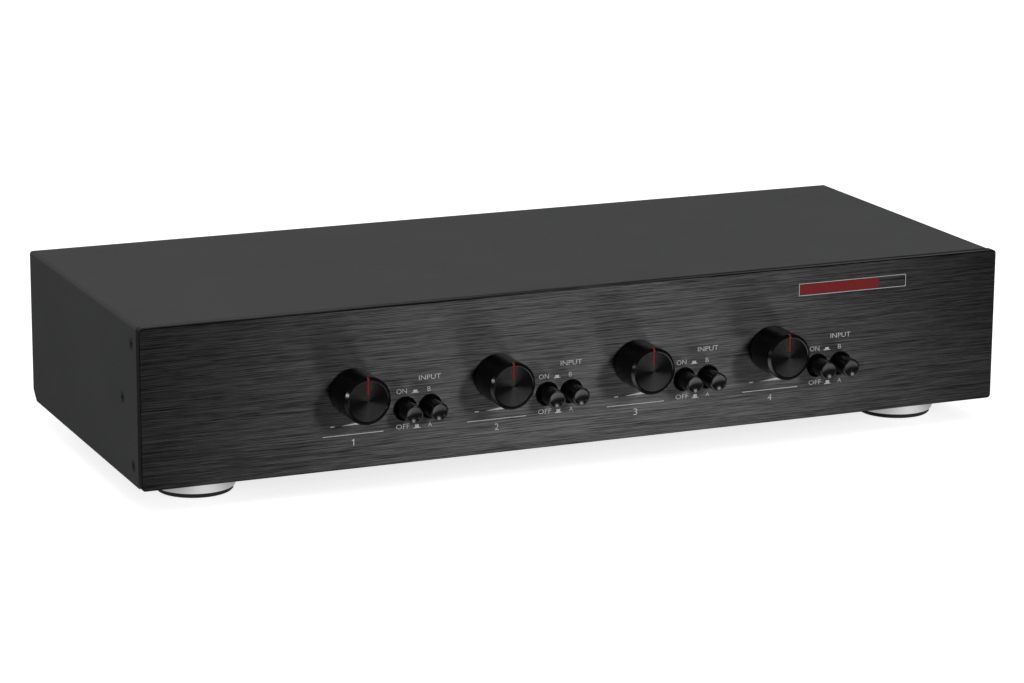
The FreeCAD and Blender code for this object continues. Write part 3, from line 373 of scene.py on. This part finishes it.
insideLook = {          # darker colour, lighter colour, size of the spots in metres, roughness
    "screwSteel": ((0.40, 0.40, 0.40), (0.50, 0.50, 0.49), 0.0008, 0.3),
    "nickel": ((0.52, 0.50, 0.46), (0.62, 0.60, 0.56), 0.001, 0.2),
    "brass": ((0.50, 0.37, 0.15), (0.62, 0.47, 0.21), 0.001, 0.3),
    "blackOxide": ((0.016, 0.016, 0.017), (0.030, 0.030, 0.030), 0.0006, 0.42),
    "terminalPlastic": ((0.013, 0.013, 0.014), (0.020, 0.020, 0.021), 0.0012, 0.42),
    "switchPlastic": ((0.040, 0.042, 0.046), (0.055, 0.057, 0.061), 0.0015, 0.45),
    "windingTape": ((0.60, 0.42, 0.06), (0.72, 0.52, 0.10), 0.004, 0.35),
}
metals = ("screwSteel", "nickel", "brass")
for name, parts in {
    "screwSteel": ["foot_screws"],
    "nickel": ["bushing_nuts", "terminal_screws"],
    "brass": ["board_spacers", "terminal_plates"],
    "blackOxide": ["case_screws"],
    "terminalPlastic": ["input_terminal_strip", "output_terminal_strip"],
    "switchPlastic": ["button_switches"],
    "windingTape": zoneNames("transformer_winding"),
}.items():
    low, high, size, roughness = insideLook[name]
    fixed = {"Metallic": 1 if name in metals else 0}
    coat(makeSurface(name, fixed, plainGrain(low, high, size, roughness, size / 200)), *parts)

boardLook = {
    "mask": (0.018, 0.115, 0.045),
    "track": (0.028, 0.165, 0.065),
    "roughness": 0.3,
    "trackPitch": 0.0026,
}


def solderBoard(graph, look=boardLook):
    x, y, z = graph.axes()
    lane = graph.maths("FRACT", (z + 0.0008 * graph.grain(0.03, 1)) / look["trackPitch"])
    track = graph.between(0.44, 0.5, lane) * (1 - graph.between(0.86, 0.92, lane))
    return {
        "Base Color": graph.tint(track, look["mask"], look["track"]),
        "Roughness": look["roughness"] + 0.1 * track,
        "Normal": graph.bump(track, 0.00003),
    }


coat(makeSurface("boardGreen", {}, solderBoard), "switch_board")

coreLook = {"low": (0.055, 0.050, 0.045), "high": (0.16, 0.15, 0.14), "sheet": 0.0005, "roughness": 0.4}


def laminations(graph, look=coreLook):
    x, y, z = graph.axes()
    sheets = graph.rings(y, look["sheet"])
    return {
        "Base Color": graph.tint(sheets, look["low"], look["high"]),
        "Roughness": look["roughness"] + 0.15 * sheets,
        "Normal": graph.bump(sheets, 0.00004),
    }


coat(makeSurface("coreSteel", {"Metallic": 0.8}, laminations), *zoneNames("transformer_core"))

waferLook = {
    "phenolic": (0.22, 0.105, 0.035),
    "fibre": (0.28, 0.145, 0.055),
    "steel": (0.46, 0.46, 0.45),
    "wafers": (-0.0622, -0.0542),
    "halfThickness": 0.0009,
}


def switchParts(graph, look=waferLook):
    x, y, z = graph.axes()
    first, second = look["wafers"]
    wafer = (abs(y - first) < look["halfThickness"]) + (abs(y - second) < look["halfThickness"])
    spots = graph.grain((0.003, 0.001, 0.0006), 3)
    board = graph.tint(spots, look["phenolic"], look["fibre"])
    return {
        "Base Color": graph.tint(wafer, look["steel"], board),
        "Metallic": 1 - wafer,
        "Roughness": 0.32 + 0.2 * spots,
        "Normal": graph.bump(spots, 0.00001),
    }


coat(makeSurface("waferSwitch", {}, switchParts), *zoneNames("rotary_switch"))

wireLook = {"red": (0.42, 0.018, 0.014), "black": (0.014, 0.014, 0.015), "upperRow": 0.041, "roughness": 0.38}


def cableSleeve(graph, look=wireLook):
    x, y, z = graph.axes()
    upper = graph.between(look["upperRow"] - 0.0002, look["upperRow"] + 0.0002, z)
    spots = graph.grain(0.002, 2)
    return {
        "Base Color": graph.tint(upper, look["black"], look["red"]),
        "Roughness": look["roughness"] + 0.1 * spots,
        "Normal": graph.bump(spots, 0.00002),
    }


coat(makeSurface("wireSleeve", {}, cableSleeve), "wiring")
print("finishes on", len(nodes), "parts")


printLook = {"white": (0.62, 0.62, 0.61), "thin": (0.42, 0.42, 0.42), "roughness": 0.45, "proud": 0.00003,
             "letterOffset": -0.012}


def whiteInk(graph, look=printLook):
    spots = graph.grain(0.0004, 2)
    return {
        "Base Color": graph.tint(graph.between(0.45, 0.75, spots), look["white"], look["thin"]),
        "Roughness": look["roughness"] + 0.1 * spots,
        "Normal": graph.bump(spots, 0.000006),
    }


whitePrint = makeSurface("whitePrint", {}, whiteInk)


def addPlate(form, corners, face, outward):
    # a thin closed prism on a face of the case, with its corners as (x, z)
    top = [form.verts.new((x, face + outward, z)) for x, z in corners]
    low = [form.verts.new((x, face, z)) for x, z in corners]
    form.faces.new(top)
    form.faces.new(low[::-1])
    for each in range(len(corners)):
        following = (each + 1) % len(corners)
        form.faces.new((top[each], low[each], low[following], top[following]))


def addBar(form, left, right, low, high, face, outward):
    addPlate(form, [(left, low), (right, low), (right, high), (left, high)], face, outward)


def addWords(form, words, left, right, low, high, face, outward):
    # letters stretched to fill a box; right is less than left where they are read from behind
    curve = bpy.data.curves.new("words", "FONT")
    curve.body = words
    depth = 0.05
    curve.extrude = depth
    curve.offset = printLook["letterOffset"]
    curve.resolution_u = 3
    holder = bpy.data.objects.new("words", curve)
    bpy.context.collection.objects.link(holder)
    bpy.context.view_layer.update()
    mesh = bpy.data.meshes.new_from_object(holder.evaluated_get(bpy.context.evaluated_depsgraph_get()))
    bpy.data.objects.remove(holder)
    across = [point.co.x for point in mesh.vertices]
    up = [point.co.y for point in mesh.vertices]
    for point in mesh.vertices:
        x = (point.co.x - min(across)) / (max(across) - min(across))
        z = (point.co.y - min(up)) / (max(up) - min(up))
        y = (point.co.z / depth + 1) / 2
        point.co = (left + (right - left) * x, face + outward * y, low + (high - low) * z)
    form.from_mesh(mesh)
    bpy.data.meshes.remove(mesh)


def finishForm(form, name, surface):
    bmesh.ops.remove_doubles(form, verts=form.verts, dist=1e-7)
    bmesh.ops.recalc_face_normals(form, faces=form.faces)
    mesh = bpy.data.meshes.new(name)
    form.to_mesh(mesh)
    form.free()
    piece = bpy.data.objects.new(name, mesh)
    piece.data.materials.append(surface)
    bpy.context.collection.objects.link(piece)
    return piece


def repeatTree():
    # copies the incoming mesh along a line
    tree = bpy.data.node_groups.new("repeatAlongLine", "GeometryNodeTree")
    sockets = {}
    for name, kind in (("Mesh", "Geometry"), ("Count", "Int"), ("Pitch", "Vector"), ("Surface", "Material")):
        made = tree.interface.new_socket(name, in_out="INPUT", socket_type="NodeSocket" + kind)
        sockets[name] = made.identifier
    tree.interface.new_socket("Mesh", in_out="OUTPUT", socket_type="NodeSocketGeometry")
    graph = Graph(tree)
    mesh, count, pitch, surface = graph.node("NodeGroupInput", output=("Mesh", "Count", "Pitch", "Surface"))
    line = graph.node("GeometryNodeMeshLine", {"mode": "OFFSET"}, {"Count": count, "Offset": pitch})
    copies = graph.node("GeometryNodeInstanceOnPoints", inputs={"Points": line, "Instance": mesh})
    real = graph.node("GeometryNodeRealizeInstances", inputs={"Geometry": copies})
    painted = graph.node("GeometryNodeSetMaterial", inputs={"Geometry": real, "Material": surface})
    graph.node("NodeGroupOutput", inputs={"Mesh": painted}, output=())
    return tree, sockets


repeater, repeatSockets = repeatTree()


def repeatPiece(piece, count, pitch, surface):
    modifier = piece.modifiers.new("repeat", "NODES")
    modifier.node_group = repeater
    for name, value in (("Count", count), ("Pitch", pitch), ("Surface", surface)):
        modifier[repeatSockets[name]] = value
    bpy.context.view_layer.update()
    mesh = bpy.data.meshes.new_from_object(piece.evaluated_get(bpy.context.evaluated_depsgraph_get()))
    piece.modifiers.clear()
    piece.data = mesh
    return piece


legendLook = {          # millimetres, across from the knob's axis and up from the case's bottom
    "rule": (-14.6, 14.6, 15.95, 16.25),
    "dash": (-10.9, -8.9, 20.2, 20.65),
    "wedge": ((-5.8, 20.4), (10, 20.4), (10, 22.4)),
    "words": {
        "INPUT": (31.8, 42.4, 38.0, 40.2),
        "ON": (20.9, 25.9, 32.55, 34.75),
        "OFF": (20.7, 27.2, 16.1, 18.3),
        "B": (35.95, 37.55, 32.55, 34.6),
        "A": (36.3, 38.1, 16.1, 17.95),
    },
    "pushedBase": (28.3, 31.7, 32.4, 32.75),
    "pushedCap": (29.05, 30.95, 32.75, 33.8),
    "outBase": (29.1, 32.5, 15.8, 16.15),
    "outCap": (29.85, 31.75, 16.15, 17.6),
}


def inMetres(box, x=0.0):
    left, right, low, high = box
    return x + left / 1000, x + right / 1000, caseBottom + low / 1000, caseBottom + high / 1000


def makeZoneLegend(look=legendLook):
    form = bmesh.new()
    outward = -printLook["proud"]
    for name in ("rule", "dash", "pushedBase", "pushedCap", "outBase", "outCap"):
        addBar(form, *inMetres(look[name], zoneStart), panelFace, outward)
    wedge = [(zoneStart + x / 1000, caseBottom + z / 1000) for x, z in look["wedge"]]
    addPlate(form, wedge, panelFace, outward)
    for words, box in look["words"].items():
        addWords(form, words, *inMetres(box, zoneStart), panelFace, outward)
    legend = repeatPiece(finishForm(form, "zone_legends", whitePrint), 4, (zonePitch, 0, 0), whitePrint)
    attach(legend, "root")


numberLook = {
    "low": 10.8,
    "high": 13.9,
    "width": 2.0,
    "one": ((0.05, 0), (0.45, 0), (0.45, 3.1), (0.15, 3.1), (-0.55, 2.5), (-0.55, 2.1), (0.05, 2.5)),
}


def makeZoneNumbers(look=numberLook):
    form = bmesh.new()
    half = look["width"] / 2
    addPlate(form, [(zoneStart + x / 1000, caseBottom + (look["low"] + z) / 1000) for x, z in look["one"]],
             panelFace, -printLook["proud"])
    for zone in zones[1:]:
        box = inMetres((-half, half, look["low"], look["high"]), zoneStart + (zone - 1) * zonePitch)
        addWords(form, str(zone), *box, panelFace, -printLook["proud"])
    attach(finishForm(form, "zone_numbers", whitePrint), "root")


makeZoneLegend()
makeZoneNumbers()

labelLook = {
    "frame": (108.3, 165.6, 59.9, 65.8),
    "line": 0.22,
    "bar": (108.8, 151.0, 60.4, 65.3),
    "red": (0.20, 0.010, 0.013),
    "deep": (0.16, 0.008, 0.010),
}


def redInk(graph, look=labelLook):
    spots = graph.grain(0.0008, 2)
    return {
        "Base Color": graph.tint(spots, look["red"], look["deep"]),
        "Roughness": 0.42 + 0.1 * spots,
        "Normal": graph.bump(spots, 0.000006),
    }


def makeLabel(look=labelLook):
    left, right, low, high = inMetres(look["frame"])
    line = look["line"] / 1000
    outward = -printLook["proud"]
    form = bmesh.new()
    addBar(form, left, right, low, low + line, panelFace, outward)
    addBar(form, left, right, high - line, high, panelFace, outward)
    addBar(form, left, left + line, low + line, high - line, panelFace, outward)
    addBar(form, right - line, right, low + line, high - line, panelFace, outward)
    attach(finishForm(form, "label_frame", whitePrint), "root")
    form = bmesh.new()
    addBar(form, *inMetres(look["bar"]), panelFace, outward)
    redPrint = makeSurface("redPrint", {"Specular IOR Level": 0.25}, redInk)
    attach(finishForm(form, "label_bar", redPrint), "root")


makeLabel()
print("front legends printed")


pointerLook = {         # millimetres, from the knob's axis and along y
    "halfWidth": 0.5,
    "top": ((2.85, -102.14), (9.32, -102.14), (9.60, -102.42), (9.97, -102.46),
            (10.042, -102.47), (10.98, -101.248)),
    "bottom": ((10.93, -101.26), (10.60, -101.72), (2.85, -101.72)),
    "red": (0.19, 0.008, 0.008),
    "deep": (0.12, 0.005, 0.005),
}


def pointerPaint(graph, look=pointerLook):
    spots = graph.grain(0.0009, 2)
    return {
        "Base Color": graph.tint(spots, look["red"], look["deep"]),
        "Roughness": 0.3 + 0.1 * spots,
        "Normal": graph.bump(spots, 0.00001),
    }


pointerRed = makeSurface("pointerRed", {}, pointerPaint)


def makePointer(zone, look=pointerLook):
    centre = zoneStart + (zone - 1) * zonePitch
    half = look["halfWidth"] / 1000
    form = bmesh.new()
    sides = []
    for x in (centre - half, centre + half):
        sides.append([form.verts.new((x, y / 1000, knobLook["centreHeight"] + r / 1000))
                      for r, y in look["top"] + look["bottom"]])
    left, right = sides
    form.faces.new(left)
    form.faces.new(right[::-1])
    for each in range(len(left)):
        following = (each + 1) % len(left)
        form.faces.new((left[each], right[each], right[following], left[following]))
    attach(finishForm(form, "pointer_line_" + str(zone), pointerRed), "volume_" + str(zone))


for zone in zones:
    makePointer(zone)
print("pointer lines painted")


rearLegendLook = {      # millimetres; each strip has its middle, its marks and its word's length
    "strips": {"INPUT": (110, "AB", 12), "OUTPUT": (-60, "1234", 15)},
    "pairPitch": 22,
    "polePitch": 11,
    "wordLow": 57.2, "wordHigh": 60.0,
    "markLow": 51.6, "markHigh": 54.6, "markHalf": 1.0,
    "signHeight": 22.6, "signHalf": 1.1, "stroke": 0.4,
}


def makeRearLegends(look=rearLegendLook):
    outward = printLook["proud"]
    form = bmesh.new()
    for word, (centre, marks, length) in look["strips"].items():
        box = inMetres((centre + length / 2, centre - length / 2, look["wordLow"], look["wordHigh"]))
        addWords(form, word, *box, rearFace, outward)
        for each, mark in enumerate(marks):
            middle = centre + (each - (len(marks) - 1) / 2) * look["pairPitch"]
            markHalf = look["markHalf"] * (0.5 if mark == "1" else 1)
            box = inMetres((middle + markHalf, middle - markHalf, look["markLow"], look["markHigh"]))
            addWords(form, mark, *box, rearFace, outward)
    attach(finishForm(form, "rear_legends", whitePrint), "root")


def makeRearSigns(name, first, count, look=rearLegendLook):
    # a plus and a minus below one pair of terminals, repeated along the strip
    half, stroke, height = look["signHalf"], look["stroke"] / 2, look["signHeight"]
    plus, minus = first, first + look["polePitch"]
    cross = [(-half, -stroke), (-stroke, -stroke), (-stroke, -half), (stroke, -half), (stroke, -stroke),
             (half, -stroke), (half, stroke), (stroke, stroke), (stroke, half), (-stroke, half),
             (-stroke, stroke), (-half, stroke)]
    form = bmesh.new()
    addPlate(form, [((plus + x) / 1000, caseBottom + (height + z) / 1000) for x, z in cross], rearFace,
             printLook["proud"])
    addBar(form, *inMetres((minus - half, minus + half, height - stroke, height + stroke)), rearFace,
           printLook["proud"])
    pair = finishForm(form, name, whitePrint)
    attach(repeatPiece(pair, count, (look["pairPitch"] / 1000, 0, 0), whitePrint), "root")


makeRearLegends()
makeRearSigns("input_signs", 93.5, 2)
makeRearSigns("output_signs", -98.5, 4)
print("rear legends printed")


floorLook = {
    "reach": 9.0,
    "height": -0.0002,
    "white": (0.55, 0.55, 0.55),
    "lift": 0.78,                  # what camera rays see on top of the lit floor
    # the sheens below are painted reflection, a glow of the floor that only glossy rays see
    "farSheen": 0.06,              # how bright metal and gloss see the floor, far off,
    "poolSheen": 2.6,              # in front of the panel's middle
    "footSheen": 1.0,              # and round the feet
    "footGlow": 0.011,
    "poolMiddle": 0.04,
    "poolWidth": 0.14,
    "poolEdges": (-0.19, -0.15, -0.11, -0.095),
    "footReach": (0.05, 0.03),
    "footShare": 0.3,              # of the light round a foot that reaches past its glow
}


def mirroredFloor(graph, look):
    # painted reflection: an emission that only glossy rays see, a bright pool in front of the panel and a
    # glow round each foot, standing in for lamp light on the floor
    x, y, z = graph.axes()
    far, farFull, nearFull, near = look["poolEdges"]
    pool = graph.bell((x - look["poolMiddle"]) / look["poolWidth"])
    pool = pool * graph.between(far, farFull, y) * graph.between(near, nearFull, y)
    feet = graph.between(*look["footReach"], footRadius(graph, x, y))
    share = look["footShare"]
    feet = feet * (share + (1 - share) * graph.bell((abs(x) - footLook["centre"][0]) / look["footGlow"]))
    return look["farSheen"] + look["poolSheen"] * pool + look["footSheen"] * feet


def makeFloor(look=floorLook):
    reach = look["reach"]
    form = bmesh.new()
    sides = ((-1, -1), (1, -1), (1, 1), (-1, 1))
    form.faces.new([form.verts.new((x * reach, y * reach, look["height"])) for x, y in sides])
    mesh = bpy.data.meshes.new("studioFloor")
    form.to_mesh(mesh)
    form.free()
    floor = bpy.data.objects.new("studioFloor", mesh)
    bpy.context.collection.objects.link(floor)
    material = bpy.data.materials.new("studioFloor")
    material.use_nodes = True
    tree = material.node_tree
    graph = Graph(tree)
    shader = tree.nodes["Principled BSDF"]
    shader.inputs["Base Color"].default_value = (*look["white"], 1)
    shader.inputs["Roughness"].default_value = 1
    shader.inputs["Specular IOR Level"].default_value = 0
    shader.inputs["Emission Color"].default_value = (1, 1, 1, 1)
    camera, glossy, clear = graph.node("ShaderNodeLightPath", output=(
        "Is Camera Ray", "Is Glossy Ray", "Is Transmission Ray"))
    lifted = look["lift"] * graph.maths("MAXIMUM", camera, clear)
    tree.links.new(lifted.socket, shader.inputs["Emission Strength"])
    # glossy rays see the floor as this painted glow instead of its lit colour
    mirrored = graph.node("ShaderNodeEmission", inputs={"Strength": mirroredFloor(graph, look)})
    mixed = graph.node("ShaderNodeMixShader", inputs={
        0: glossy, 1: Wire(graph, shader.outputs[0]), 2: mirrored})
    tree.links.new(mixed.socket, tree.nodes["Material Output"].inputs["Surface"])
    material.cycles.emission_sampling = "NONE"
    floor.data.materials.append(material)


roomLook = {
    "ambient": 0.55,
    "dark": 0.03,                  # what gloss sees of the room
    "backdrop": 0.24,              # and of the wall behind, which starts and ends softly
    "wallEdges": (0.1, 0.6),
    "wallTop": (0.35, 0.75),
}


def makeRoom(look=roomLook):
    world = bpy.data.worlds.new("studio")
    world.use_nodes = True
    graph = Graph(world.node_tree)
    camera, glossy, clear = graph.node("ShaderNodeLightPath", output=(
        "Is Camera Ray", "Is Glossy Ray", "Is Transmission Ray"))
    towards = graph.node("ShaderNodeTexCoord", output="Generated")
    x, y, z = graph.node("ShaderNodeSeparateXYZ", inputs={0: towards}, output=(0, 1, 2))
    behind = graph.between(*look["wallEdges"], y) * (1 - graph.between(*look["wallTop"], z))
    mirrored = look["dark"] + look["backdrop"] * behind
    seen = graph.maths("MAXIMUM", camera, clear)
    strength = seen + (1 - seen) * (glossy * mirrored + (1 - glossy) * look["ambient"])
    background = world.node_tree.nodes["Background"]
    world.node_tree.links.new(strength.socket, background.inputs["Strength"])
    background.inputs["Color"].default_value = (1, 1, 1, 1)
    world.cycles.sampling_method = "NONE"      # so that each kind of ray sees its own share of the room
    bpy.context.scene.world = world


lampLook = {        # azimuth and height in degrees from the object, distance, width, depth and brightness
    "keyLamp": (24.5, 20, 2.1, 0.55, 0.5, 11.5),
    "topLamp": (0, 88, 1.9, 1.6, 1.2, 1.8),
    "leftLamp": (-80, 12.6, 1.95, 0.26, 0.3, 18),
    "fillLamp": (-12, 9, 2.2, 0.25, 0.25, 5),
    "backLamp": (170, 12, 2.2, 1.0, 0.5, 9),
}


lampTarget = Vector((0, -0.02, 0.045))
paintLamps = ("topLamp", "backLamp")      # these light the paint and stay out of the gloss


def makeLamps(look=lampLook):
    for name, (azimuth, height, distance, width, depth, bright) in look.items():
        side, rise = math.radians(azimuth), math.radians(height)
        away = Vector((math.sin(side) * math.cos(rise), -math.cos(side) * math.cos(rise), math.sin(rise)))
        data = bpy.data.lights.new(name, "AREA")
        data.shape = "RECTANGLE"
        data.size, data.size_y = width, depth
        data.energy = bright * math.pi * width * depth
        lamp = bpy.data.objects.new(name, data)
        lamp.location = lampTarget + away * distance
        lamp.rotation_euler = away.to_track_quat("Z", "Y").to_euler()
        lamp.visible_camera = False
        lamp.visible_glossy = name not in paintLamps
        bpy.context.collection.objects.link(lamp)


makeFloor()
makeRoom()
makeLamps()
bpy.context.scene.view_settings.view_transform = "Standard"
print("floor, room and lamps ready")
